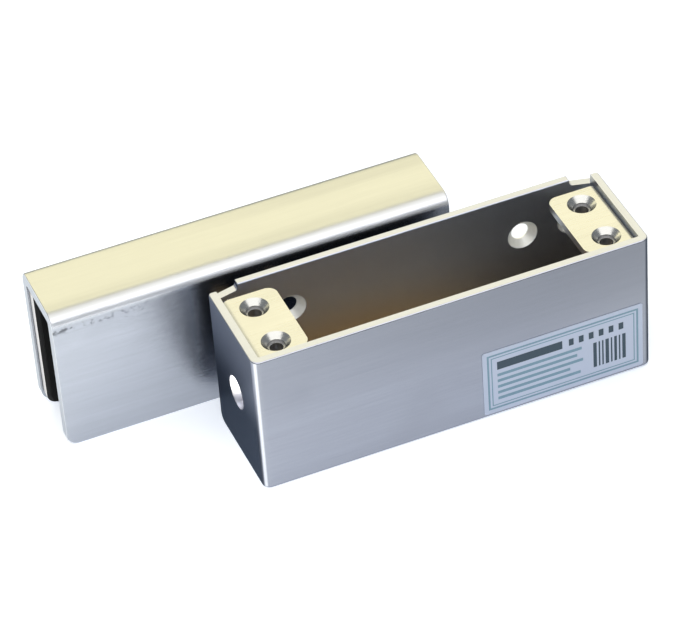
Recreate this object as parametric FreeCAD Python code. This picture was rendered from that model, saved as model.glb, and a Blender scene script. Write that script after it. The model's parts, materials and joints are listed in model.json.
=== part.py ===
import FreeCAD, Part
import os

from FreeCAD import Vector

# Stainless bracket set for a glass-door bolt lock: an open-topped lock housing and a glass clamp.
#
# The housing is a folded box without a lid. Its two face brackets carry the lock's face plate.
# The clamp is a U-shaped channel, open downwards. Three screws push its pressure plate on to the glass.
# Lengths are in millimetres. +X runs along both pieces, +Y from the housing to the clamp, +Z is up.
# The origin is on the standing surface, under the middle of the box round both pieces.

# Housing
housing_length = 100.0
housing_depth = 30.4
housing_height = 38.8
housing_sheet = 2.0
housing_bend = 2.0
housing_inner_bend = 0.3
base_bend = 3.0
bottom_edge_round = 0.8
rim_round = 0.4
back_plate_inset = 1.0
notch_length = 7.4
notch_step = 1.7
notch_drop = 3.3
notch_round = 1.0
wall_screw_inset = 20.0
wall_screw_outer_inset = 7.0
wall_screw_height = 26.6

# Face brackets
tab_length = 13.1
tab_recess = 0.9
tab_front_margin = 4.3
tab_back_margin = 5.2
bracket_sheet = 2.0
bracket_bend = 1.8
bracket_leg_height = 11.5
tab_corner = 2.5
tab_hole_inset = 8.2
tab_hole_pitch = 13.3
nut_side = 7.0
nut_height = 3.0
nut_corner = 0.6

# Holes and screws
face_screw_core_radius = 1.65
face_screw_hole_radius = 2.15
face_sink_radius = 3.5
wall_screw_hole_radius = 2.2
wall_sink_radius = 3.85
cable_hole_radius = 4.25
cable_hole_height = 19.4
cable_hole_setback = 14.2

# Rating label
label_length = 41.6
label_height = 19.1
label_thickness = 0.15
label_end_gap = 2.3
label_bottom_gap = 1.0
label_corner = 0.6

# Clamp channel
channel_length = 100.6
channel_width = 21.2
channel_height = 39.4
channel_sheet = 3.0
channel_bend = 3.4
channel_inner_bend = 0.6
channel_corner = 3.0
channel_edge_round = 0.35

# Where the clamp lies beside the housing
clamp_offset = 36.3
clamp_gap = 4.7

# Pressure plate, pads and clamp screws
pad_thickness = 1.2
pad_end_inset = 1.5
pad_bottom_gap = 1.5
pad_corner = 2.0
web_pad_thickness = 1.5
web_pad_width = 8.6
plate_thickness = 2.5
plate_end_inset = 0.5
plate_bottom_gap = 1.0
plate_clearance = 0.3
plate_corner = 2.6
clamp_travel = 3.0
clamp_screw_radius = 2.45
thread_clearance = 0.05
clamp_screw_end_distance = 15.0
clamp_screw_height = 17.0
screw_tip_radius = 1.4
tip_clearance = 0.05
ring_seat_radius = 1.1
ring_outer_radius = 2.3
ring_thickness = 0.5
ring_pocket_radius = 2.7
ring_pocket_depth = 1.3
ring_play = 0.1
ring_bore_clearance = 0.05
ring_mouth_half_width = 0.9
screw_tip_gap = 0.2
hex_key_size = 2.5
hex_key_depth = 2.6
screw_end_chamfer = 0.4

# Gaps between pieces that don't touch, and how far a cut runs past what it cuts
fit_gap = 0.3
cut_margin = 1.0
same_place = 1e-4

# Directions
to_the_right = (1, 0, 0)
to_the_back = (0, 1, 0)
upwards = (0, 0, 1)
downwards = (0, 0, -1)

# Worked out from the sizes above
wrap_depth = housing_depth - housing_sheet
clamp_left = -clamp_offset
clamp_front = housing_depth + clamp_gap
clamp_right = clamp_left + channel_length
clamp_back = clamp_front + channel_width
plate_back = clamp_back - channel_sheet - plate_clearance
plate_front = plate_back - plate_thickness
screw_length = plate_clearance + channel_sheet + clamp_travel
screw_out = plate_back + screw_length
origin = Vector(
    (min(0.0, clamp_left) + max(housing_length, clamp_right)) / 2.0,
    (screw_out - label_thickness) / 2.0,
    0.0,
)
tab_top = housing_height - tab_recess
tab_under = tab_top - bracket_sheet
ring_back = plate_front + ring_pocket_depth - ring_play
ring_front = ring_back - ring_thickness
plate_top = channel_height - channel_sheet - web_pad_thickness - fit_gap
tab_front = housing_sheet + fit_gap
tab_hole_front = tab_front + tab_front_margin
tab_hole_rows = (tab_hole_front, tab_hole_front + tab_hole_pitch)
tab_back = tab_hole_front + tab_hole_pitch + tab_back_margin
clamp_screw_places = {
    "left": clamp_left + clamp_screw_end_distance,
    "middle": clamp_left + channel_length / 2.0,
    "right": clamp_right - clamp_screw_end_distance,
}


def block(x0, x1, y0, y1, z0, z1):
    """A square-edged block between two opposite corners."""
    return Part.makeBox(x1 - x0, y1 - y0, z1 - z0, Vector(x0, y0, z0))


def rod(radius, start, direction, length):
    """A round bar from a start point."""
    return Part.makeCylinder(radius, length, Vector(*start), Vector(*direction))


def sunk_hole(radius, sink_radius, mouth, direction, length):
    """The space of a countersunk hole, with a cone of 90 degrees at its mouth."""
    depth = sink_radius - radius
    cone = Part.makeCone(sink_radius, radius, depth, Vector(*mouth), Vector(*direction))
    return cone.fuse(rod(radius, mouth, direction, length))


def edges_where(shape, test):
    """The edges whose two ends and middle all pass a test on their place."""
    found = []
    for edge in shape.Edges:
        middle = edge.valueAt((edge.FirstParameter + edge.LastParameter) / 2.0)
        places = [v.Point for v in edge.Vertexes] + [middle]
        if all(test(p) for p in places):
            found.append(edge)
    return found


def rounded(shape, radius, test):
    """The shape with the chosen edges rounded."""
    return shape.makeFillet(radius, edges_where(shape, test))


def near(a, b):
    """Whether two lengths are the same."""
    return abs(a - b) < same_place


def pillar(x0, x1, y0, y1, z0, z1, radius):
    """A block whose four upright edges are rounded."""
    solid = block(x0, x1, y0, y1, z0, z1)
    return solid.makeFillet(radius, upright_edges(solid))


def upright_edges(shape):
    """The straight edges that run along Z."""
    found = []
    for edge in shape.Edges:
        span = edge.BoundBox
        if span.ZLength > same_place and near(span.XLength, 0) and near(span.YLength, 0):
            found.append(edge)
    return found


def housing_wrap():
    """The front wall and both end walls, folded from one strip, with the cable hole in the left one."""
    wall = block(0, housing_length, 0, wrap_depth, 0, housing_height)
    wall = rounded(
        wall,
        housing_bend,
        lambda p: near(p.y, 0) and (near(p.x, 0) or near(p.x, housing_length)),
    )
    inner_left = housing_sheet
    inner_right = housing_length - housing_sheet
    room = block(
        inner_left,
        inner_right,
        housing_sheet,
        wrap_depth + cut_margin,
        -cut_margin,
        housing_height + cut_margin,
    )
    room = rounded(
        room,
        housing_inner_bend,
        lambda p: near(p.y, housing_sheet) and (near(p.x, inner_left) or near(p.x, inner_right)),
    )
    wall = wall.cut(room)
    wall = rounded(
        wall,
        base_bend - fit_gap,
        lambda p: near(p.y, wrap_depth) and near(p.z, 0),
    )
    wall = rounded(wall, bottom_edge_round, lambda p: near(p.z, 0) and on_wrap_outside(p))
    wall = rounded(wall, rim_round, lambda p: near(p.z, housing_height) and on_wrap_outside(p))
    start = (-cut_margin, cable_hole_setback, cable_hole_height)
    hole = rod(cable_hole_radius, start, to_the_right, housing_sheet + 2 * cut_margin)
    return wall.cut(hole)


def on_wrap_outside(p):
    """Whether a point lies on the outer side of the front and end walls, short of their back edges."""
    side = min(p.x, housing_length - p.x)
    if p.y > wrap_depth - same_place and not near(side, 0):
        return False
    corner_x = housing_bend - side
    corner_y = housing_bend - p.y
    if corner_x > same_place and corner_y > same_place:
        return near((corner_x**2 + corner_y**2) ** 0.5, housing_bend)
    return near(side, 0) or near(p.y, 0)


def base_and_back():
    """The base and the back plate, bent from one sheet, with the back's top corners notched."""
    left = back_plate_inset
    right = housing_length - back_plate_inset
    front = housing_sheet + fit_gap
    plate = block(left, right, front, housing_depth, 0, housing_height)
    plate = rounded(plate, base_bend, lambda p: near(p.y, housing_depth) and near(p.z, 0))
    room = block(
        left - cut_margin,
        right + cut_margin,
        front - cut_margin,
        wrap_depth,
        housing_sheet,
        housing_height + cut_margin,
    )
    room = rounded(
        room,
        base_bend - housing_sheet,
        lambda p: near(p.y, wrap_depth) and near(p.z, housing_sheet),
    )
    plate = plate.cut(room)
    clear = housing_sheet + fit_gap
    lower = base_bend + fit_gap
    beside_wall = block(0, clear, 0, wrap_depth, -cut_margin, lower)
    beside_bend = block(0, clear, 0, housing_depth + cut_margin, -cut_margin, base_bend)
    for side in (1, -1):
        plate = plate.cut(facing(beside_wall, side))
        plate = plate.cut(facing(beside_bend, side))
        plate = plate.cut(facing(corner_notch(), side))
    plate = rounded(plate, housing_inner_bend, lambda p: near(p.z, housing_height))
    for place in (wall_screw_outer_inset, wall_screw_inset):
        for x in (place, housing_length - place):
            mouth = (x, wrap_depth, wall_screw_height)
            length = housing_sheet + cut_margin
            hole = sunk_hole(wall_screw_hole_radius, wall_sink_radius, mouth, to_the_back, length)
            plate = plate.cut(hole)
    return plate


def corner_notch():
    """The space cut from the back plate's top left corner: a step, then a slope out to the end."""
    top = housing_height
    start = wrap_depth - cut_margin
    points = [
        Vector(-cut_margin, start, top + cut_margin),
        Vector(notch_length, start, top + cut_margin),
        Vector(notch_length, start, top - notch_step),
        Vector(0, start, top - notch_drop),
        Vector(-cut_margin, start, top - notch_drop),
    ]
    face = Part.Face(Part.makePolygon(points + points[:1]))
    notch = face.extrude(Vector(0, housing_sheet + 2 * cut_margin, 0))
    return rounded(notch, notch_round, lambda p: near(p.x, notch_length) and near(p.z, top - notch_step))


def face_bracket(side):
    """A bent bracket: a tab for the lock's face plate, and a leg welded to the end wall."""
    outer = housing_sheet
    inner = housing_sheet + tab_length
    low = tab_top - bracket_leg_height
    solid = block(outer, inner, tab_front, tab_back, low, tab_top)
    solid = rounded(solid, bracket_bend, lambda p: near(p.x, outer) and near(p.z, tab_top))
    room = block(
        outer + bracket_sheet,
        inner + cut_margin,
        tab_front - cut_margin,
        tab_back + cut_margin,
        low - cut_margin,
        tab_under,
    )
    solid = solid.cut(room)
    solid = rounded(solid, tab_corner, lambda p: near(p.x, inner) and on_tab_side(p))
    solid = rounded(solid, tab_corner, lambda p: near(p.z, low) and on_tab_side(p))
    for y in tab_hole_rows:
        mouth = (tab_hole_inset, y, tab_top)
        length = bracket_sheet + cut_margin
        solid = solid.cut(sunk_hole(face_screw_hole_radius, face_sink_radius, mouth, downwards, length))
    return facing(solid, side)


def on_tab_side(p):
    """Whether a point lies on a face bracket's front or back edge."""
    return near(p.y, tab_front) or near(p.y, tab_back)


def facing(solid, side):
    """A piece of the left end, or its mirror image at the right end."""
    if side < 0:
        return solid.mirror(Vector(housing_length / 2.0, 0, 0), Vector(1, 0, 0))
    return solid


def weld_nut(side, y):
    """A square weld nut under a face bracket's tab."""
    half = nut_side / 2.0
    low = tab_under - nut_height
    left = tab_hole_inset - half
    right = tab_hole_inset + half
    solid = pillar(left, right, y - half, y + half, low, tab_under, nut_corner)
    start = (tab_hole_inset, y, low - cut_margin)
    solid = solid.cut(rod(face_screw_core_radius, start, upwards, nut_height + 2 * cut_margin))
    return facing(solid, side)


def rating_label():
    """The blank rating label on the front wall, low down at its right end."""
    right = housing_length - label_end_gap
    left = right - label_length
    solid = block(left, right, -label_thickness, 0, label_bottom_gap, label_bottom_gap + label_height)
    edges = [e for e in solid.Edges if near(e.BoundBox.YLength, label_thickness)]
    return solid.makeFillet(label_corner, edges)


def clamp_channel():
    """The U-shaped channel, open downwards, with three tapped holes in its back flange."""
    solid = block(clamp_left, clamp_right, clamp_front, clamp_back, 0, channel_height)
    solid = rounded(
        solid,
        channel_bend,
        lambda p: near(p.z, channel_height) and (near(p.y, clamp_front) or near(p.y, clamp_back)),
    )
    low = clamp_front + channel_sheet
    high = clamp_back - channel_sheet
    ceiling = channel_height - channel_sheet
    room = block(clamp_left - cut_margin, clamp_right + cut_margin, low, high, -cut_margin, ceiling)
    room = rounded(
        room,
        channel_inner_bend,
        lambda p: near(p.z, ceiling) and (near(p.y, low) or near(p.y, high)),
    )
    solid = solid.cut(room)
    solid = rounded(
        solid,
        channel_corner,
        lambda p: near(p.z, 0) and (near(p.x, clamp_left) or near(p.x, clamp_right)),
    )
    solid = rounded(solid, channel_edge_round, on_channel_rim)
    for x in clamp_screw_places.values():
        start = (x, high - cut_margin, clamp_screw_height)
        length = channel_sheet + 2 * cut_margin
        solid = solid.cut(rod(clamp_screw_radius + thread_clearance, start, to_the_back, length))
    return solid


def on_channel_rim(p):
    """Whether a point lies on an end or a lower corner of the channel's outer side."""
    inner_front = clamp_front + channel_sheet - same_place
    inner_back = clamp_back - channel_sheet + same_place
    if inner_front <= p.y <= inner_back and p.z < channel_height - same_place:
        return False
    bends = p.z > channel_height - channel_bend - same_place
    if near(p.z, channel_height - channel_sheet):
        return False
    outer = near(p.y, clamp_front) or near(p.y, clamp_back) or bends
    end = near(p.x, clamp_left) or near(p.x, clamp_right)
    corner = p.z < channel_corner + same_place
    return outer and (end or corner)


def pad(y0, y1, z0, z1):
    """A flat rubber pad along the channel, with its lower corners rounded."""
    left = clamp_left + pad_end_inset
    right = clamp_right - pad_end_inset
    solid = block(left, right, y0, y1, z0, z1)
    return rounded(solid, pad_corner, lambda p: near(p.z, z0) and (near(p.x, left) or near(p.x, right)))


def front_glass_pad():
    """The rubber pad glued to the front flange's inner face."""
    start = clamp_front + channel_sheet
    return pad(start, start + pad_thickness, pad_bottom_gap, plate_top)


def plate_glass_pad():
    """The rubber pad glued to the pressure plate."""
    return pad(plate_front - pad_thickness, plate_front, pad_bottom_gap, plate_top)


def web_glass_pad():
    """The rubber strip under the web, on which the glass edge seats."""
    start = clamp_front + channel_sheet + fit_gap
    left = clamp_left + pad_end_inset
    right = clamp_right - pad_end_inset
    ceiling = channel_height - channel_sheet
    low = ceiling - web_pad_thickness
    return block(left, right, start + channel_inner_bend, start + web_pad_width, low, ceiling)


def pressure_plate():
    """The steel plate that the clamp screws push, with a pocket for each screw's ring."""
    left = clamp_left + plate_end_inset
    right = clamp_right - plate_end_inset
    solid = block(left, right, plate_front, plate_back, plate_bottom_gap, plate_top)
    solid = rounded(
        solid,
        plate_corner,
        lambda p: near(p.z, plate_bottom_gap) and (near(p.x, left) or near(p.x, right)),
    )
    for x in clamp_screw_places.values():
        start = (x, plate_front - cut_margin, clamp_screw_height)
        length = plate_thickness + 2 * cut_margin
        solid = solid.cut(rod(screw_tip_radius + tip_clearance, start, to_the_back, length))
        solid = solid.cut(rod(ring_pocket_radius, start, to_the_back, ring_pocket_depth + cut_margin))
    return solid


def clamp_screw(x):
    """A headless screw with a hexagon socket outside, and a pin with a ring groove at the plate."""
    height = clamp_screw_height
    body = rod(clamp_screw_radius, (x, plate_back, height), to_the_back, screw_length)
    ends = [e for e in body.Edges if near(e.BoundBox.YLength, 0)]
    body = body.makeChamfer(screw_end_chamfer, ends)
    tip = plate_front + screw_tip_gap
    neck = rod(ring_seat_radius, (x, tip, height), to_the_back, plate_back - tip)
    tip_length = ring_front - ring_play - tip
    tip_end = rod(screw_tip_radius, (x, tip, height), to_the_back, tip_length)
    pin_start = ring_back + ring_play
    pin_length = plate_back - pin_start + screw_end_chamfer
    pin = rod(screw_tip_radius, (x, pin_start, height), to_the_back, pin_length)
    solid = body.fuse([neck, tip_end, pin])
    socket = hexagon(x, screw_out - hex_key_depth, hex_key_size, hex_key_depth + cut_margin)
    return solid.cut(socket).removeSplitter()


def hexagon(x, y, across, depth):
    """A hexagonal bar along +Y, of a size across its flats."""
    wire = Part.makePolygon([corner(x, y, across, i) for i in range(7)])
    return Part.Face(wire).extrude(Vector(0, depth, 0))


def corner(x, y, across, index):
    """A corner of a hexagon of a size across its flats."""
    reach = FreeCAD.Rotation(Vector(0, 1, 0), 60.0 * index).multVec(Vector(across / 3**0.5, 0, 0))
    return Vector(x, y, clamp_screw_height) + reach


def screw_ring(x):
    """The open retaining ring in the screw's groove, in the plate's pocket."""
    start = (x, ring_front, clamp_screw_height)
    solid = rod(ring_outer_radius, start, to_the_back, ring_thickness)
    solid = solid.cut(rod(ring_seat_radius + ring_bore_clearance, start, to_the_back, ring_thickness))
    mouth = block(
        x - ring_mouth_half_width,
        x + ring_mouth_half_width,
        ring_front - cut_margin,
        ring_back + cut_margin,
        clamp_screw_height - ring_outer_radius - cut_margin,
        clamp_screw_height,
    )
    return solid.cut(mouth)


def save(name, solid):
    """Writes one piece, moved so that the origin is under the middle of both pieces."""
    placed = solid.copy()
    placed.translate(-origin)
    placed.exportStep("parts/" + name + ".step")
    print(name, placed.isValid(), len(placed.Solids), round(placed.Volume, 2))


def main():
    os.makedirs("parts", exist_ok=True)
    save("housing_wrap", housing_wrap())
    save("base_and_back", base_and_back())
    for end, side in (("left", 1), ("right", -1)):
        save("face_bracket_" + end, face_bracket(side))
        for row, y in zip(("front", "back"), tab_hole_rows):
            save("weld_nut_" + end + "_" + row, weld_nut(side, y))
    save("rating_label", rating_label())
    save("clamp_channel", clamp_channel())
    save("front_glass_pad", front_glass_pad())
    save("web_glass_pad", web_glass_pad())
    save("pressure_plate", pressure_plate())
    save("plate_glass_pad", plate_glass_pad())
    for place, x in clamp_screw_places.items():
        save("clamp_screw_" + place, clamp_screw(x))
        save("screw_ring_" + place, screw_ring(x))
    print("origin", tuple(origin))


main()
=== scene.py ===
import json
import math

import bmesh
import bpy
from mathutils import Matrix, Vector


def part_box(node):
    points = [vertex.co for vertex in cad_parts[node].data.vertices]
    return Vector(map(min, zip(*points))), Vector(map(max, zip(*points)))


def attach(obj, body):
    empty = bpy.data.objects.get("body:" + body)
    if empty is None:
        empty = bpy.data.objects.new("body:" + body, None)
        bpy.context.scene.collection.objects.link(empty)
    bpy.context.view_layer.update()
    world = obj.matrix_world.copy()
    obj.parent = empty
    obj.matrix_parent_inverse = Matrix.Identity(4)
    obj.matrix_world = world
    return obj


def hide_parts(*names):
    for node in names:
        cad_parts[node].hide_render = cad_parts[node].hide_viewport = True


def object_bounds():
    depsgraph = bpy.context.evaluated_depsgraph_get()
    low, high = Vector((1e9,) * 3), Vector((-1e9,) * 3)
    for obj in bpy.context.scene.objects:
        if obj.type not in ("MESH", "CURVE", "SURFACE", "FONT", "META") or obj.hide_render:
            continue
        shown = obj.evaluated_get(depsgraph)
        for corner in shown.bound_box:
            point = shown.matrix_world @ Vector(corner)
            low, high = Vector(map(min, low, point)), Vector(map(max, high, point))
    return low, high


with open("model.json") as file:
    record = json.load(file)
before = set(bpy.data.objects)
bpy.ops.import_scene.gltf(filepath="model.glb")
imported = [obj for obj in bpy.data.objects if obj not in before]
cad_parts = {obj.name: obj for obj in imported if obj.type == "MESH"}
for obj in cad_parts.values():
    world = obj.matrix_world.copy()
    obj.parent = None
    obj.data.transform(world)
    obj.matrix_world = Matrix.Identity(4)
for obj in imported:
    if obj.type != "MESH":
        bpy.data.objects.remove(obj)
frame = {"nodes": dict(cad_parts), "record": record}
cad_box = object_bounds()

# A stainless lock housing and the clamp that goes with it, on a pale floor.
# Lengths are in metres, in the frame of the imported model: +X along both pieces, +Z up.
MM = 0.001

SCREW_PLACES = ("left", "middle", "right")
SCREW_PITCH = 0.8 * MM
THREAD_DEPTH = 0.45 * MM
THREAD_STEPS = 28
HEX_KEY = 2.5 * MM
HEX_DEPTH = 2.6 * MM

RUBBER_BASE = 0.85 * MM
RIB_SPACING = 2.4 * MM
RIB_RADIUS = 0.45 * MM
RIB_SINK = 0.1 * MM

INK_THICKNESS = 0.012 * MM
INK_SINK = 0.004 * MM

PAD_CORNER = 2.0 * MM
RIB_END_GAP = 2.4 * MM
EASED_EDGE = 0.4 * MM
LABEL_CORNER = 0.6 * MM

PIN_RADIUS = 1.4 * MM
PIN_TIP_RADIUS = 1.15 * MM
PIN_CHAMFER = 0.25 * MM
PIN_GROOVE_RADIUS = 1.1 * MM
PIN_SINK = 0.1 * MM
GROOVE_PLAY = 0.1 * MM

# How far each finish round a hole reaches from the hole's middle.
BACK_SINK_REACH = 3.9 * MM
TAB_SINK_REACH = 3.55 * MM
CABLE_HOLE_REACH = 4.3 * MM

# The numbers of a colour Mix node's sockets.
MIX_FACTOR = 0
MIX_COLOUR_A = 6
MIX_COLOUR_B = 7
MIX_COLOUR_OUT = 2

Z_AXIS = Vector((0, 0, 1))

STEEL_OUTSIDE = (0.31, 0.325, 0.37, 1.0)
STEEL_CHANNEL = (0.415, 0.435, 0.477, 1.0)
STEEL_INSIDE = (0.60, 0.665, 0.81, 1.0)
STEEL_INSIDE_PAINTED_SHADE = (0.53, 0.425, 0.29, 1.0)
STEEL_WEB = (0.535, 0.535, 0.52, 1.0)
STEEL_TAB = (0.555, 0.55, 0.535, 1.0)
STEEL_RIM = (0.52, 0.535, 0.62, 1.0)
STEEL_PAINTED_HIGHLIGHT_AND_CUT_END = (0.86, 0.87, 0.90, 1.0)
SINK_PAINTED_HIGHLIGHT = (0.94, 0.93, 0.88, 1.0)
CUT_WALL = (0.95, 0.96, 0.97, 1.0)


# ---------------------------------------------------------------- shader maths

class Socket:
    """One output of a shader node, on which Python's operators add Math nodes."""

    def __init__(self, finish, out):
        self.finish = finish
        self.out = out

    def __add__(self, other):
        return self.finish.maths("ADD", self, other)

    def __radd__(self, other):
        return self.finish.maths("ADD", other, self)

    def __sub__(self, other):
        return self.finish.maths("SUBTRACT", self, other)

    def __rsub__(self, other):
        return self.finish.maths("SUBTRACT", other, self)

    def __mul__(self, other):
        return self.finish.maths("MULTIPLY", self, other)

    def __rmul__(self, other):
        return self.finish.maths("MULTIPLY", other, self)


class Finish:
    """A material being made: a Principled shader, and the nodes that feed it."""

    def __init__(self, name, roughness, metallic=0.0, specular=0.5):
        self.material = bpy.data.materials.new(name)
        self.material.use_nodes = True
        self.tree = self.material.node_tree
        self.tree.nodes.clear()
        self.shader = self.tree.nodes.new("ShaderNodeBsdfPrincipled")
        self.shader.inputs["Roughness"].default_value = roughness
        self.shader.inputs["Metallic"].default_value = metallic
        self.shader.inputs["Specular IOR Level"].default_value = specular
        output = self.tree.nodes.new("ShaderNodeOutputMaterial")
        self.tree.links.new(self.shader.outputs["BSDF"], output.inputs["Surface"])
        self.place = self.node("ShaderNodeTexCoord", output="Object")
        self.facing = self.node("ShaderNodeTexCoord", output="Normal")

    def node(self, kind, settings=None, inputs=None, output=0):
        """Adds a node, with its settings first, then the values or links of its sockets."""
        made = self.tree.nodes.new(kind)
        for key, value in (settings or {}).items():
            setattr(made, key, value)
        for key, value in (inputs or {}).items():
            self.feed(made.inputs[key], value)
        return Socket(self, made.outputs[output])

    def feed(self, target, value):
        """Links a socket to another, or sets its value."""
        if isinstance(value, Socket):
            self.tree.links.new(value.out, target)
        else:
            target.default_value = value

    def maths(self, operation, a, b=0.0):
        return self.node("ShaderNodeMath", {"operation": operation}, {0: a, 1: b})

    def axes(self, vector):
        """The X, Y and Z of a vector."""
        split = self.node("ShaderNodeSeparateXYZ", None, {0: vector})
        return [Socket(self, out) for out in split.out.node.outputs]

    def rise(self, value, low, high):
        """0 below low, 1 above high, and smooth between."""
        inputs = {"Value": value, "From Min": low, "From Max": high}
        return self.node("ShaderNodeMapRange", {"interpolation_type": "SMOOTHSTEP"}, inputs)

    def spread(self, value, low, high):
        """A value from 0 to 1, spread from low to high."""
        inputs = {"Value": value, "To Min": low, "To Max": high}
        return self.node("ShaderNodeMapRange", None, inputs)

    def stretched(self, scale, offset=(0.0, 0.0, 0.0)):
        """Places on the piece, stretched along each axis by its own amount."""
        inputs = {"Vector": self.place, "Location": offset, "Scale": scale}
        return self.node("ShaderNodeMapping", None, inputs)

    def noise(self, scale, detail=2.0, roughness=0.5, offset=(0.0, 0.0, 0.0)):
        """Cloudy noise with a number of clouds per metre along each axis, from 0 to 1."""
        inputs = {
            "Vector": self.stretched(scale, offset),
            "Scale": 1.0,
            "Detail": detail,
            "Roughness": roughness,
        }
        return self.node("ShaderNodeTexNoise", None, inputs)

    def mix(self, factor, a, b):
        """A colour between two colours."""
        inputs = {MIX_FACTOR: factor, MIX_COLOUR_A: a, MIX_COLOUR_B: b}
        return self.node("ShaderNodeMix", {"data_type": "RGBA"}, inputs, MIX_COLOUR_OUT)

    def bump(self, height, distance, strength=1.0):
        """Feeds the Normal from a height from 0 to 1 that stands for a distance."""
        inputs = {"Height": height, "Distance": distance, "Strength": strength}
        self.set("Normal", self.node("ShaderNodeBump", None, inputs))

    def set(self, name, value):
        self.feed(self.shader.inputs[name], value)


def grey(level, tint=(1.0, 1.0, 1.0)):
    """A colour from a level and a tint."""
    return (level * tint[0], level * tint[1], level * tint[2], 1.0)


# ---------------------------------------------------------------- finishes

def lighter(colour, share):
    """A colour scaled up or down, no brighter than white."""
    return tuple(min(1.0, part * share) for part in colour[:3]) + (1.0,)


class BrushedSheet(Finish):
    """Stainless sheet brushed lengthwise: fine grooves along X, or along Y on the end faces.

    The grooves blur what the sheet mirrors across them, and leave it sharper along them. Each
    touch after that gives part of the sheet another colour, and its own metal share and roughness.
    """

    def __init__(self, name, colour, roughness=0.22, marks_per_metre=7000.0, depth=0.028 * MM):
        super().__init__(name, roughness, metallic=1.0)
        self.shader.inputs["Specular Tint"].default_value = (0.30, 0.33, 0.38, 1.0)
        self.depth = depth
        self.x, self.y, self.z = self.axes(self.place)
        self.nx, self.ny, self.nz = self.axes(self.facing)
        long_way = 120.0
        across = marks_per_metre
        end_face = self.rise(self.size(self.nx), 0.5, 0.8)
        lengthwise = self.noise((long_way, across, across), detail=3.0, roughness=0.65)
        crosswise = self.noise((across, long_way, across), detail=3.0, roughness=0.65)
        streaks = self.noise((40.0, across * 0.2, across * 0.2), detail=2.0, offset=(3.1, 1.7, 5.3))
        bands = self.noise((5.0, 150.0, 150.0), detail=1.0, offset=(1.9, 0.3, 2.7))
        smudge = self.noise((38.0, 38.0, 38.0), detail=3.0, offset=(0.4, 2.2, 1.1))
        self.grooves = lengthwise * (1.0 - end_face) + crosswise * end_face
        self.marks = self.grooves * 0.6 + streaks * 0.4
        self.wear = self.rise(smudge, 0.52, 0.78)
        spread = self.marks * 0.72 + bands * 0.28
        tone = self.mix(spread, lighter(colour, 0.80), lighter(colour, 1.18))
        self.tone = self.mix(self.wear * 0.18, tone, lighter(colour, 0.7))
        self.gloss = self.spread(self.marks, roughness - 0.05, roughness + 0.05) + self.wear * 0.05
        self.metal = 1.0

    def touch(self, mask, colour, metal=1.0, roughness=None):
        """Gives the part under a mask its own colour, metal share and roughness."""
        shade = self.mix(self.marks, lighter(colour, 0.9), lighter(colour, 1.08))
        self.tone = self.mix(mask, self.tone, shade)
        if metal < 1.0:
            self.metal = self.metal * (1.0 - mask * (1.0 - metal))
        if roughness is not None:
            self.gloss = self.gloss * (1.0 - mask) + mask * roughness

    def done(self):
        self.set("Base Color", self.tone)
        self.set("Roughness", self.gloss)
        self.set("Metallic", self.metal)
        self.bump(self.grooves, self.depth)
        return self.material

    def size(self, value):
        """A value without its sign."""
        return self.maths("ABSOLUTE", value)

    def near_holes(self, u, v, centre, half_u, half_v, radius):
        """1 within a radius of the holes that stand half_u and half_v either side of a centre."""
        across = self.size(self.size(u - centre[0]) - half_u)
        along = self.size(self.size(v - centre[1]) - half_v)
        reach = self.maths("SQRT", across * across + along * along)
        return 1.0 - self.rise(reach, radius * 0.95, radius * 1.02)

    def line_inside(self, mask, low, high):
        """The inside of the housing, in painted shade: pale above, brown and darker lower down, and
        greyer low down and paler above towards the right end.
        """
        height = self.rise(self.z, low.z + 10 * MM, low.z + 29 * MM)
        along = self.rise(self.x, low.x + 35 * MM, high.x - 5 * MM)
        shade = self.mix(height, STEEL_INSIDE_PAINTED_SHADE, STEEL_INSIDE)
        far = self.mix(height, (0.42, 0.395, 0.37, 1.0), (0.70, 0.74, 0.82, 1.0))
        # dull holds the painted shade of the inside.
        dull = self.mix(along, shade, far)
        self.tone = self.mix(mask, self.tone, dull)
        self.gloss = self.gloss * (1.0 - mask) + mask * 0.36

    def looks_inward(self, centre):
        """1 on faces that look towards an upright line through a centre."""
        inward = (centre[0] - self.x) * self.nx + (centre[1] - self.y) * self.ny
        return self.rise(inward, 0.0, 0.5 * MM)


def mount(name):
    """The place of a stated mount, and the halves of its spacings."""
    for stated in frame["record"]["mounts"]:
        if stated["name"] == name:
            half_x = stated["dims"].get("spacing_x_mm", 0.0) / 2 * MM
            half_y = stated["dims"].get("spacing_y_mm", 0.0) / 2 * MM
            return Vector(stated["pos_m"]), half_x, half_y
    raise ValueError("no mount named " + name)


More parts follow.
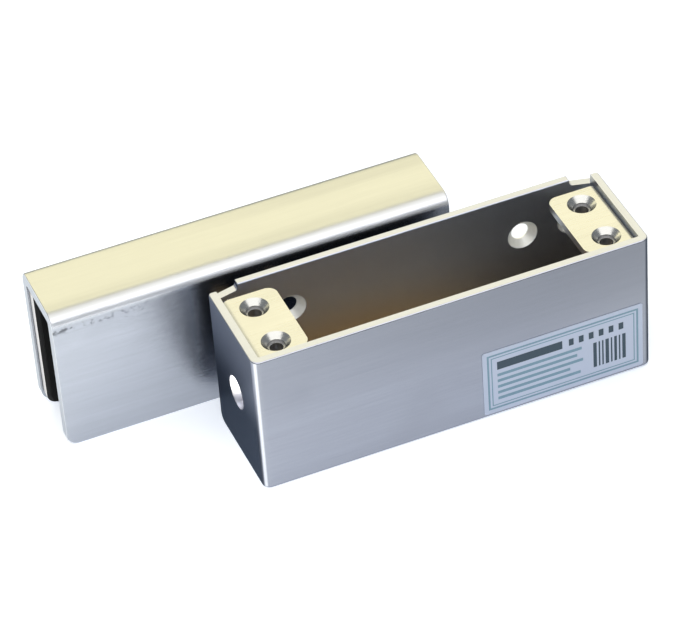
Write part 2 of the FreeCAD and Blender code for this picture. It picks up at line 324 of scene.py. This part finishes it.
def wrap_finish():
    """The front and end walls: bright cut rim, painted shade on the front, ends painted dark below
    and light above, a painted highlight on one upright bend and painted shade on the other, and
    painted shade inside.
    """
    low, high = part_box("housing_wrap")
    sheet = BrushedSheet("shell_brushed", STEEL_OUTSIDE)
    centre = (low + high) / 2
    front = sheet.rise(sheet.ny, -0.5, -0.8)
    # Painted shade: the front face is darker towards its top and towards its right end.
    upper_front = front * sheet.rise(sheet.z, low.z + 8 * MM, high.z)
    rightward = sheet.rise(sheet.x, low.x - 40 * MM, high.x)
    sheet.touch(upper_front * rightward * 0.9, lighter(STEEL_OUTSIDE, 0.74))
    # Painted shade and light: the end walls are painted dark low down and lighter near their top.
    ends = sheet.rise(sheet.size(sheet.nx), 0.75, 0.98)
    upper = sheet.rise(sheet.z, low.z + 15 * MM, high.z + 4 * MM)
    sheet.touch(ends * (1.0 - upper), lighter(STEEL_OUTSIDE, 0.3), roughness=0.34)
    sheet.touch(ends * upper, lighter(STEEL_OUTSIDE, 1.25), roughness=0.34)
    # Painted highlight on the front-left upright bend, and painted shade on the front-right one.
    corner = sheet.nx * sheet.ny
    sheet.touch(sheet.rise(corner, 0.42, 0.5), lighter(STEEL_PAINTED_HIGHLIGHT_AND_CUT_END, 0.78), roughness=0.2)
    sheet.touch(sheet.rise(0.0 - corner, 0.2, 0.5), lighter(STEEL_OUTSIDE, 0.35))
    sheet.line_inside(sheet.looks_inward(centre), low, high)
    # Painted highlight: a light band along the top of the inner faces.
    lip = sheet.looks_inward(centre) * sheet.rise(sheet.z, high.z - 1.6 * MM, high.z - 1.1 * MM)
    sheet.touch(lip, STEEL_PAINTED_HIGHLIGHT_AND_CUT_END, roughness=0.3)
    place = mount("cable_hole")[0]
    hole = sheet.near_holes(sheet.y, sheet.z, (place.y, place.z), 0.0, 0.0, CABLE_HOLE_REACH)
    # The cut wall of the cable hole is painted near-white and non-metal, a painted highlight that
    # the side snoot lamp also lights.
    wall = hole * sheet.rise(sheet.size(sheet.nx), 0.5, 0.3)
    sheet.touch(wall, CUT_WALL, metal=0.0, roughness=0.5)
    rim = sheet.rise(sheet.nz, 0.55, 0.9)
    sheet.touch(rim, STEEL_RIM, roughness=0.3)
    return sheet.done()


def back_finish():
    """The base and back plate: countersinks with a painted highlight, a bright rim, and painted
    shade inside.
    """
    low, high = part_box("base_and_back")
    sheet = BrushedSheet("back_brushed", STEEL_OUTSIDE)
    top = sheet.rise(sheet.z, high.z - 8.0 * MM, high.z - 7.0 * MM)
    floor_side = sheet.rise(sheet.nz, 0.3, 0.7) * (1.0 - top)
    inside = sheet.maths("MAXIMUM", sheet.rise(sheet.ny, -0.3, -0.7), floor_side)
    sheet.line_inside(inside, low, high)
    for name in ("wall_screws_inner", "wall_screws_outer"):
        place, half, _ = mount(name)
        sink = sheet.near_holes(sheet.x, sheet.z, (place.x, place.z), half, 0.0, BACK_SINK_REACH)
        inner_side = 1.0 - sheet.rise(sheet.ny, 0.3, 0.7)
        # Painted highlight: the inner countersinks are near-white and mostly non-metal.
        sheet.touch(sink * inner_side, SINK_PAINTED_HIGHLIGHT, metal=0.25, roughness=0.35)
    sheet.touch(sheet.rise(sheet.nz, 0.55, 0.9) * top, STEEL_RIM, roughness=0.3)
    return sheet.done()


def bracket_finish():
    """The face brackets: fine satin, with a painted highlight on their countersinks and on their
    bends and legs.
    """
    sheet = BrushedSheet("bracket_satin", STEEL_TAB, 0.28, 4200.0, 0.02 * MM)
    place, half_x, half_y = mount("face_plate_threads")
    sink = sheet.near_holes(sheet.x, sheet.y, (place.x, place.y), half_x, half_y, TAB_SINK_REACH)
    upward = sheet.rise(sheet.nz, 0.0, 0.3)
    # Painted highlight on the countersinks.
    sheet.touch(sink * upward, lighter(SINK_PAINTED_HIGHLIGHT, 0.62), roughness=0.24)
    # Painted highlight on the bends and legs, the faces that do not look up.
    side = sheet.rise(sheet.nz, 0.75, 0.35)
    sheet.touch(side * (1.0 - sink), STEEL_PAINTED_HIGHLIGHT_AND_CUT_END, roughness=0.3)
    return sheet.done()


def channel_finish():
    """The clamp channel: painted highlights on the bends, bright cut ends, dark smudges near the
    left end, and a web painted lighter on top.
    """
    low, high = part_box("clamp_channel")
    sheet = BrushedSheet("channel_brushed", STEEL_CHANNEL, roughness=0.21, depth=0.035 * MM)
    # Painted highlight along the bends between the web and the flanges.
    bend = sheet.rise(sheet.size(sheet.ny * sheet.nz), 0.05, 0.40)
    sheet.touch(bend, STEEL_PAINTED_HIGHLIGHT_AND_CUT_END, roughness=0.31)
    sheet.touch(sheet.rise(sheet.size(sheet.nx), 0.7, 0.95), STEEL_PAINTED_HIGHLIGHT_AND_CUT_END, roughness=0.35)
    at_end = 1.0 - sheet.rise(sheet.x, low.x + 1 * MM, low.x + 9 * MM)
    stained = sheet.noise((560.0, 560.0, 700.0), detail=4.0) + at_end * 0.07
    smudges = sheet.rise(stained, 0.50, 0.72)
    under_bend = 1.0 - sheet.rise(sheet.size(sheet.z - (high.z - 4.1 * MM)), 0.0, 1.5 * MM)
    left_half = 1.0 - sheet.rise(sheet.x, low.x + 8 * MM, low.x + 45 * MM)
    front = sheet.rise(sheet.ny, -0.3, -0.7)
    sheet.touch(smudges * under_bend * left_half * front * 0.9, lighter(STEEL_CHANNEL, 0.25))
    # Painted light: the upward face of the web is a lighter steel than the flanges, and rougher.
    top = sheet.rise(sheet.nz, 0.6, 0.95)
    sheet.touch(top, STEEL_WEB, roughness=0.28)
    cloud = sheet.noise((7.0, 95.0, 95.0), detail=1.0, offset=(0.2, 0.9, 0.4))
    haze = sheet.rise(cloud, 0.42, 0.66)
    sheet.touch(top * haze * 0.55, lighter(STEEL_WEB, 0.84), roughness=0.30)
    return sheet.done()


def satin_steel(name, colour, roughness=0.38, scale=900.0):
    """Plain satin steel with a fine even grain, for small pressed and turned pieces."""
    finish = Finish(name, roughness, metallic=1.0)
    grain = finish.noise((scale, scale, scale), detail=4.0, roughness=0.6)
    cloud = finish.noise((120.0, 120.0, 120.0), detail=2.0, offset=(1.3, 0.2, 4.4))
    dark = tuple(c * 0.86 for c in colour[:3]) + (1.0,)
    finish.set("Base Color", finish.mix(cloud, dark, colour))
    finish.set("Roughness", finish.spread(grain, roughness - 0.08, roughness + 0.1))
    finish.bump(grain, 0.006 * MM)
    return finish.material


def plate_finish():
    """The pressure plate: mill steel, with a black glue film on the face its pad is stuck to."""
    finish = Finish("plate_mill", 0.4, metallic=1.0)
    grain = finish.noise((900.0, 900.0, 900.0), detail=4.0, roughness=0.6)
    film = finish.rise(finish.axes(finish.facing)[1], -0.5, -0.8)
    steel = finish.mix(grain, (0.60, 0.585, 0.58, 1.0), (0.70, 0.685, 0.68, 1.0))
    finish.set("Base Color", finish.mix(film, steel, (0.012, 0.012, 0.013, 1.0)))
    finish.set("Metallic", 1.0 - film)
    finish.set("Roughness", finish.spread(grain, 0.32, 0.5) + film * 0.3)
    finish.bump(grain, 0.006 * MM)
    return finish.material


def black_rubber(name):
    """Matt black rubber with a dusty bloom."""
    finish = Finish(name, 0.82, specular=0.08)
    grain = finish.noise((2600.0, 2600.0, 2600.0), detail=3.0)
    bloom = finish.noise((90.0, 90.0, 90.0), detail=3.0, offset=(2.0, 0.5, 0.9))
    finish.set("Base Color", finish.mix(bloom, grey(0.008), grey(0.022, (1.0, 1.02, 1.05))))
    finish.set("Roughness", finish.spread(bloom, 0.74, 0.90))
    finish.bump(grain, 0.03 * MM)
    return finish.material


def label_film(name):
    """Pale printed film with a soft sheen."""
    finish = Finish(name, 0.45, specular=0.5)
    fibre = finish.noise((700.0, 700.0, 700.0), detail=3.0)
    cloud = finish.noise((60.0, 60.0, 60.0), detail=2.0, offset=(0.7, 3.0, 1.9))
    pale = (0.41, 0.46, 0.57, 1.0)
    paler = (0.46, 0.51, 0.62, 1.0)
    finish.set("Base Color", finish.mix(cloud, pale, paler))
    finish.set("Roughness", finish.spread(fibre, 0.38, 0.52))
    finish.bump(fibre, 0.004 * MM)
    return finish.material


def ink(name, colour):
    """Printing ink, a little uneven."""
    finish = Finish(name, 0.5)
    speckle = finish.noise((1500.0, 1500.0, 1500.0), detail=2.0)
    faded = tuple(min(1.0, c * 1.5 + 0.02) for c in colour[:3]) + (1.0,)
    finish.set("Base Color", finish.mix(speckle * 0.5, colour, faded))
    finish.set("Roughness", finish.spread(speckle, 0.4, 0.6))
    return finish.material


def pale_floor(name):
    """A white light table, brighter towards one side, with a painted pool of light in a strip along
    the front of the housing.
    """
    finish = Finish(name, 0.7, specular=0.1)
    cloud = finish.noise((3.0, 3.0, 3.0), detail=2.0)
    finish.set("Base Color", finish.mix(cloud, (0.78, 0.79, 0.80, 1.0), (0.81, 0.82, 0.83, 1.0)))
    x, y, _ = finish.axes(finish.place)
    dimmer = finish.rise(x, -70 * MM, 80 * MM)
    bright = (0.48, 0.51, 0.56, 1.0)
    dim = (0.16, 0.19, 0.26, 1.0)
    glow = finish.mix(dimmer, bright, dim)
    # Painted light: a glowing strip along the front of the housing fills in its shadow there,
    # weaker towards the right.
    nearness = finish.maths("ABSOLUTE", y + 38 * MM)
    strip = (1.0 - finish.rise(nearness, 8 * MM, 42 * MM)) * (0.36 - dimmer * 0.20)
    finish.set("Emission Color", finish.mix(strip, glow, (1.10, 1.14, 1.20, 1.0)))
    finish.shader.inputs["Emission Strength"].default_value = 1.0
    return finish.material


# ---------------------------------------------------------------- making pieces

def finished(bm, name, body, materials, replaced=()):
    """Turns a bmesh into a piece that rides on a body and stands for CAD nodes."""
    bmesh.ops.recalc_face_normals(bm, faces=bm.faces)
    mesh = bpy.data.meshes.new(name)
    bm.to_mesh(mesh)
    bm.free()
    for material in materials:
        mesh.materials.append(material)
    piece = bpy.data.objects.new(name, mesh)
    bpy.context.scene.collection.objects.link(piece)
    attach(piece, body)
    if replaced:
        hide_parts(*replaced)
    return piece


def smooth_where_round(piece, degrees=35.0):
    """Shades the piece smooth, with edges sharper than an angle kept crisp."""
    mesh = piece.data
    mesh.shade_smooth()
    bm = bmesh.new()
    bm.from_mesh(mesh)
    limit = math.radians(degrees)
    for edge in bm.edges:
        edge.smooth = len(edge.link_faces) == 2 and edge.calc_face_angle(math.pi) < limit
    bm.to_mesh(mesh)
    bm.free()


def block(bm, low, high, material=0):
    """Adds a square-edged block between two corners, and returns its vertices."""
    made = bmesh.ops.create_cube(bm, size=1.0)["verts"]
    size = Vector(high) - Vector(low)
    bmesh.ops.scale(bm, vec=size, verts=made)
    bmesh.ops.translate(bm, vec=(Vector(low) + Vector(high)) / 2, verts=made)
    for face in {f for v in made for f in v.link_faces}:
        face.material_index = material
    return made


def edges_of(verts):
    return list({e for v in verts for e in v.link_edges})


def bevelled(bm, edges, width, segments=3):
    """Rounds edges."""
    return bmesh.ops.bevel(
        bm,
        geom=edges,
        offset=width,
        offset_type="OFFSET",
        affect="EDGES",
        segments=segments,
        profile=0.5,
        material=-1,
    )


# ---------------------------------------------------------------- rating label

def rating_label(film, border_ink, text_ink):
    """A blank rating label: film, a double border, plain bars and a block of upright bars."""
    low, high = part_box("rating_label")
    front = low.y + INK_THICKNESS
    bm = bmesh.new()
    verts = block(bm, (low.x, front, low.z), (high.x, high.y, high.z))
    corners = [e for e in edges_of(verts) if abs(e.verts[0].co.y - e.verts[1].co.y) > 0.05 * MM]
    bevelled(bm, corners, LABEL_CORNER, segments=5)
    length = high.x - low.x
    height = high.z - low.z

    def bar(x0, x1, z0, z1, material):
        """Ink between two corners, given from the label's lower left corner."""
        start = (low.x + x0, front - INK_THICKNESS + INK_SINK / 2, low.z + z0)
        end = (low.x + x1, front + INK_SINK, low.z + z1)
        block(bm, start, end, material)

    def frame_line(inset, width, material):
        """A rectangular line, an inset in from the label's edges."""
        right = length - inset
        top = height - inset
        bar(inset, right, inset, inset + width, material)
        bar(inset, right, top - width, top, material)
        bar(inset, inset + width, inset + width, top - width, material)
        bar(right - width, right, inset + width, top - width, material)

    frame_line(1.15 * MM, 0.5 * MM, 1)
    frame_line(2.15 * MM, 0.28 * MM, 1)
    bar(3.7 * MM, 20.6 * MM, 13.0 * MM, 15.4 * MM, 2)
    for index in range(6):
        start = 22.3 * MM + index * 2.6 * MM
        bar(start, start + 1.25 * MM, 13.2 * MM, 15.2 * MM, 2)
    for index, end in enumerate((25.6, 24.4, 25.9, 22.5, 25.2)):
        level = 10.9 * MM - index * 1.8 * MM
        bar(3.7 * MM, end * MM, level, level + 0.85 * MM, 1)
    place = 28.6 * MM
    for width in (0.9, 0.4, 0.4, 0.9, 0.4, 0.7, 0.4, 0.9):
        bar(place, place + width * MM, 4.0 * MM, 11.6 * MM, 2)
        place += (width + 0.5) * MM
    materials = (film, border_ink, text_ink)
    return finished(bm, "rating_label_film", "housing", materials, ["rating_label"])


# ---------------------------------------------------------------- clamp screws

def thread_surface(crest, pitch, depth, length):
    """A thread about Z from 0 to a length, cut square and open at both ends."""
    bm = bmesh.new()
    root = crest - depth
    profile = ((root, 0.0), (root, 0.14), (crest, 0.44), (crest, 0.56), (root, 0.86), (root, 1.0))
    verts = [bm.verts.new((radius, 0.0, (share - 1.5) * pitch)) for radius, share in profile]
    edges = [bm.edges.new(pair) for pair in zip(verts, verts[1:])]
    turns = math.ceil(length / pitch) + 2
    bmesh.ops.spin(
        bm,
        geom=verts + edges,
        cent=(0, 0, 0),
        axis=Z_AXIS,
        dvec=(0, 0, pitch / THREAD_STEPS),
        angle=2 * math.pi * turns,
        steps=turns * THREAD_STEPS,
        use_merge=False,
    )
    bmesh.ops.remove_doubles(bm, verts=bm.verts, dist=0.0005 * MM)
    for level, keep_above in ((0.0, True), (length, False)):
        bmesh.ops.bisect_plane(
            bm,
            geom=bm.verts[:] + bm.edges[:] + bm.faces[:],
            plane_co=(0, 0, level),
            plane_no=Z_AXIS,
            dist=0.0001 * MM,
            clear_inner=keep_above,
            clear_outer=not keep_above,
        )
    return bm


def rim_at(bm, level):
    """The open edges at a height."""
    found = []
    for edge in bm.edges:
        if edge.is_boundary and all(abs(v.co.z - level) < 0.002 * MM for v in edge.verts):
            found.append(edge)
    return found


def pin_profile(sections):
    """A turned pin about Z, from the radius and height pairs of its half outline."""
    bm = bmesh.new()
    verts = [bm.verts.new((radius, 0.0, height)) for radius, height in sections]
    edges = [bm.edges.new(pair) for pair in zip(verts, verts[1:])]
    bmesh.ops.spin(
        bm,
        geom=verts + edges,
        cent=(0, 0, 0),
        axis=Z_AXIS,
        angle=2 * math.pi,
        steps=36,
        use_merge=True,
    )
    bmesh.ops.remove_doubles(bm, verts=bm.verts, dist=0.0005 * MM)
    return bm


def clamp_screw(place, steel):
    """A headless screw: a rolled thread, a hexagon socket, and a grooved pin for its ring."""
    node = "clamp_screw_" + place
    low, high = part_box(node)
    plate_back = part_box("pressure_plate")[1].y
    crest = (high.x - low.x) / 2
    length = high.y - plate_back
    bm = thread_surface(crest, SCREW_PITCH, THREAD_DEPTH, length)
    chamfer = THREAD_DEPTH
    for vert in bm.verts:
        reach = vert.co.xy.length
        end = min(vert.co.z, length - vert.co.z)
        limit = crest - max(0.0, chamfer - end)
        if reach > limit:
            vert.co.x *= limit / reach
            vert.co.y *= limit / reach
    bmesh.ops.holes_fill(bm, edges=rim_at(bm, 0.0), sides=0)
    across = HEX_KEY / math.sqrt(3)
    mouth = bmesh.ops.create_circle(bm, segments=6, radius=across)["verts"]
    bmesh.ops.translate(bm, vec=(0, 0, length), verts=mouth)
    hexagon = edges_of(mouth)
    walls = bmesh.ops.extrude_edge_only(bm, edges=hexagon)["geom"]
    bottom = [v for v in walls if isinstance(v, bmesh.types.BMVert)]
    bmesh.ops.translate(bm, vec=(0, 0, -HEX_DEPTH), verts=bottom)
    bmesh.ops.contextual_create(bm, geom=[e for e in walls if isinstance(e, bmesh.types.BMEdge)])
    bmesh.ops.triangle_fill(bm, edges=rim_at(bm, length), use_beauty=True)
    pin = pin_profile(pin_sections(low.y - plate_back))
    joined = bpy.data.meshes.new("pin")
    pin.to_mesh(joined)
    pin.free()
    bm.from_mesh(joined)
    bpy.data.meshes.remove(joined)
    turned = Matrix.Rotation(-math.pi / 2, 4, "X")
    centre = Vector(((low.x + high.x) / 2, plate_back, (low.z + high.z) / 2))
    bmesh.ops.transform(bm, matrix=Matrix.Translation(centre) @ turned, verts=bm.verts)
    name = node + "_threaded"
    piece = finished(bm, name, "screw_" + place, [steel], [node])
    smooth_where_round(piece, 30.0)
    return piece


def pin_sections(tip):
    """The radius and height pairs of a screw's pin, from its tip up into the screw."""
    ring_low, ring_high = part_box("screw_ring_middle")
    plate_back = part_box("pressure_plate")[1].y
    groove_low = ring_low.y - plate_back - GROOVE_PLAY
    groove_high = ring_high.y - plate_back + GROOVE_PLAY
    return (
        (0.0, tip),
        (PIN_TIP_RADIUS, tip),
        (PIN_RADIUS, tip + PIN_CHAMFER),
        (PIN_RADIUS, groove_low),
        (PIN_GROOVE_RADIUS, groove_low),
        (PIN_GROOVE_RADIUS, groove_high),
        (PIN_RADIUS, groove_high),
        (PIN_RADIUS, PIN_SINK),
        (0.0, PIN_SINK),
    )


# ---------------------------------------------------------------- rubber pads

def rubber_pad(node, body, rubber, glass_side):
    """A ribbed rubber pad. Its ribs point to the glass, towards +Y for 1 and -Y for -1."""
    low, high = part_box(node)
    back = low.y if glass_side > 0 else high.y
    front = back + glass_side * RUBBER_BASE
    bm = bmesh.new()
    y0, y1 = sorted((back, front))
    verts = block(bm, (low.x, y0, low.z), (high.x, y1, high.z))
    corners = [e for e in edges_of(verts) if is_lower_corner(e, low.z)]
    bevelled(bm, corners, PAD_CORNER, segments=6)
    count = int((high.z - low.z - 2 * RIB_SPACING) / RIB_SPACING) + 1
    margin = ((high.z - low.z) - (count - 1) * RIB_SPACING) / 2
    for index in range(count):
        level = low.z + margin + index * RIB_SPACING
        rib(bm, (low.x + RIB_END_GAP, high.x - RIB_END_GAP), front, level, glass_side)
    piece = finished(bm, node + "_ribbed", body, [rubber], [node])
    smooth_where_round(piece, 40.0)
    return piece


def is_lower_corner(edge, level):
    """Whether an edge runs along Y at a height."""
    a, b = (v.co for v in edge.verts)
    at_level = all(abs(end.z - level) < 0.01 * MM for end in (a, b))
    return at_level and abs(a.y - b.y) > 0.1 * MM


def rib(bm, span, surface, level, side):
    """A rib with a rounded top along X."""
    reach = RIB_RADIUS * 0.75
    sunk = surface - side * RIB_SINK
    outline = [(sunk, level + RIB_RADIUS)]
    steps = 6
    for index in range(steps + 1):
        angle = math.pi * index / steps
        out = surface + side * reach * math.sin(angle)
        outline.append((out, level + RIB_RADIUS * math.cos(angle)))
    outline.append((sunk, level - RIB_RADIUS))
    start = [bm.verts.new((span[0], y, z)) for y, z in outline]
    face = bm.faces.new(start)
    made = bmesh.ops.extrude_face_region(bm, geom=[face])["geom"]
    moved = [v for v in made if isinstance(v, bmesh.types.BMVert)]
    bmesh.ops.translate(bm, vec=(span[1] - span[0], 0, 0), verts=moved)


def web_strip(rubber):
    """The rubber strip under the web, with its two lower edges eased."""
    low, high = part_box("web_glass_pad")
    bm = bmesh.new()
    verts = block(bm, low, high)
    long_edges = [e for e in edges_of(verts) if abs(e.verts[0].co.x - e.verts[1].co.x) > 1 * MM]
    under = [e for e in long_edges if max(v.co.z for v in e.verts) < low.z + 0.1 * MM]
    bevelled(bm, under, EASED_EDGE, segments=3)
    piece = finished(bm, "web_glass_strip", "clamp", [rubber], ["web_glass_pad"])
    smooth_where_round(piece, 40.0)
    return piece


# ---------------------------------------------------------------- studio

def softbox(name, direction, distance, size, radiance, colour, aim):
    """A large soft light that faces the pieces. Its radiance is the brightness of its own face."""
    data = bpy.data.lights.new(name, "AREA")
    data.shape = "RECTANGLE"
    data.size, data.size_y = size
    data.energy = radiance * math.pi * size[0] * size[1]
    data.color = colour
    light = bpy.data.objects.new(name, data)
    bpy.context.scene.collection.objects.link(light)
    light.location = aim + Vector(direction).normalized() * distance
    light.visible_camera = False
    light.rotation_euler = (aim - light.location).to_track_quat("-Z", "Y").to_euler()
    return light


def snoot():
    """A narrow lamp at the side, that shines into the cable hole's cut wall."""
    target = mount("cable_hole")[0] + Vector((0, 1.0 * MM, 0))
    data = bpy.data.lights.new("side_snoot", "SPOT")
    data.energy = 85.0
    data.spot_size = math.radians(1.0)
    data.spot_blend = 0.5
    data.shadow_soft_size = 0.001
    light = bpy.data.objects.new("side_snoot", data)
    bpy.context.scene.collection.objects.link(light)
    light.location = target + Vector((-0.76, -0.64, 0.10)).normalized() * 0.4
    light.rotation_euler = (target - light.location).to_track_quat("-Z", "Y").to_euler()
    light.visible_camera = False


def studio(aim):
    """The floor, the lights and the surroundings."""
    bm = bmesh.new()
    bmesh.ops.create_grid(bm, x_segments=1, y_segments=1, size=3.0)
    mesh = bpy.data.meshes.new("floor")
    bm.to_mesh(mesh)
    bm.free()
    mesh.materials.append(pale_floor("floor_white"))
    floor = bpy.data.objects.new("floor", mesh)
    bpy.context.scene.collection.objects.link(floor)
    softbox("back_softbox", (0.20, 0.80, 0.56), 1.3, (3.0, 1.3), 1.58, (1.0, 0.925, 0.58), aim)
    softbox("top_softbox", (-0.08, -0.33, 0.94), 1.3, (2.4, 2.2), 1.5, (1.0, 0.99, 0.97), aim)
    snoot()
    world = bpy.data.worlds.new("studio_walls")
    world.use_nodes = True
    background = world.node_tree.nodes["Background"]
    background.inputs["Color"].default_value = (0.26, 0.28, 0.31, 1.0)
    background.inputs["Strength"].default_value = 1.0
    bpy.context.scene.world = world
    bpy.context.scene.view_settings.view_transform = "Standard"


def camera(aim):
    """The camera, by where it looks from."""
    azimuth = math.radians(19.90)
    elevation = math.radians(40.27)
    roll = math.radians(4.46)
    distance = 898.4 * MM
    look = Vector((
        math.sin(azimuth) * math.cos(elevation),
        math.cos(azimuth) * math.cos(elevation),
        -math.sin(elevation),
    ))
    data = bpy.data.cameras.new("camera")
    data.sensor_width = 36.0
    data.lens = 200.4
    data.clip_start = 0.01
    data.clip_end = 20.0
    made = bpy.data.objects.new("camera", data)
    bpy.context.scene.collection.objects.link(made)
    level = look.to_track_quat("-Z", "Y").to_matrix()
    turn = Matrix.Rotation(roll, 3, look) @ level
    made.matrix_world = Matrix.Translation(aim - look * distance) @ turn.to_4x4()
    bpy.context.scene.camera = made


# ---------------------------------------------------------------- the whole set

def dress(nodes, material):
    """Gives CAD nodes a finish."""
    for name in nodes:
        for place in frame["nodes"][name].material_slots:
            place.material = material


def main():
    middle = (Vector(cad_box[0]) + Vector(cad_box[1])) / 2
    aim = middle + Vector((0.47 * MM, -0.54 * MM, -0.41 * MM))
    dress(["housing_wrap"], wrap_finish())
    dress(["base_and_back"], back_finish())
    dress(["clamp_channel"], channel_finish())
    dress([n for n in frame["nodes"] if n.startswith("face_bracket")], bracket_finish())
    nuts = [n for n in frame["nodes"] if n.startswith("weld_nut")]
    dress(nuts, satin_steel("nut_dull", (0.42, 0.42, 0.43, 1.0), 0.45))
    dress(["pressure_plate"], plate_finish())
    rings = [n for n in frame["nodes"] if n.startswith("screw_ring")]
    dress(rings, satin_steel("ring_spring", (0.22, 0.22, 0.24, 1.0), 0.3))

    rating_label(
        label_film("film_pale"),
        ink("ink_border", (0.13, 0.23, 0.29, 1.0)),
        ink("ink_dark", (0.012, 0.035, 0.055, 1.0)),
    )
    screw_steel = satin_steel("screw_dark", (0.26, 0.26, 0.28, 1.0), 0.32)
    for place in SCREW_PLACES:
        clamp_screw(place, screw_steel)
    rubber = black_rubber("rubber_black")
    rubber_pad("front_glass_pad", "clamp", rubber, 1)
    rubber_pad("plate_glass_pad", "pressure", rubber, -1)
    web_strip(rubber)
    studio(aim)
    camera(aim)


main()
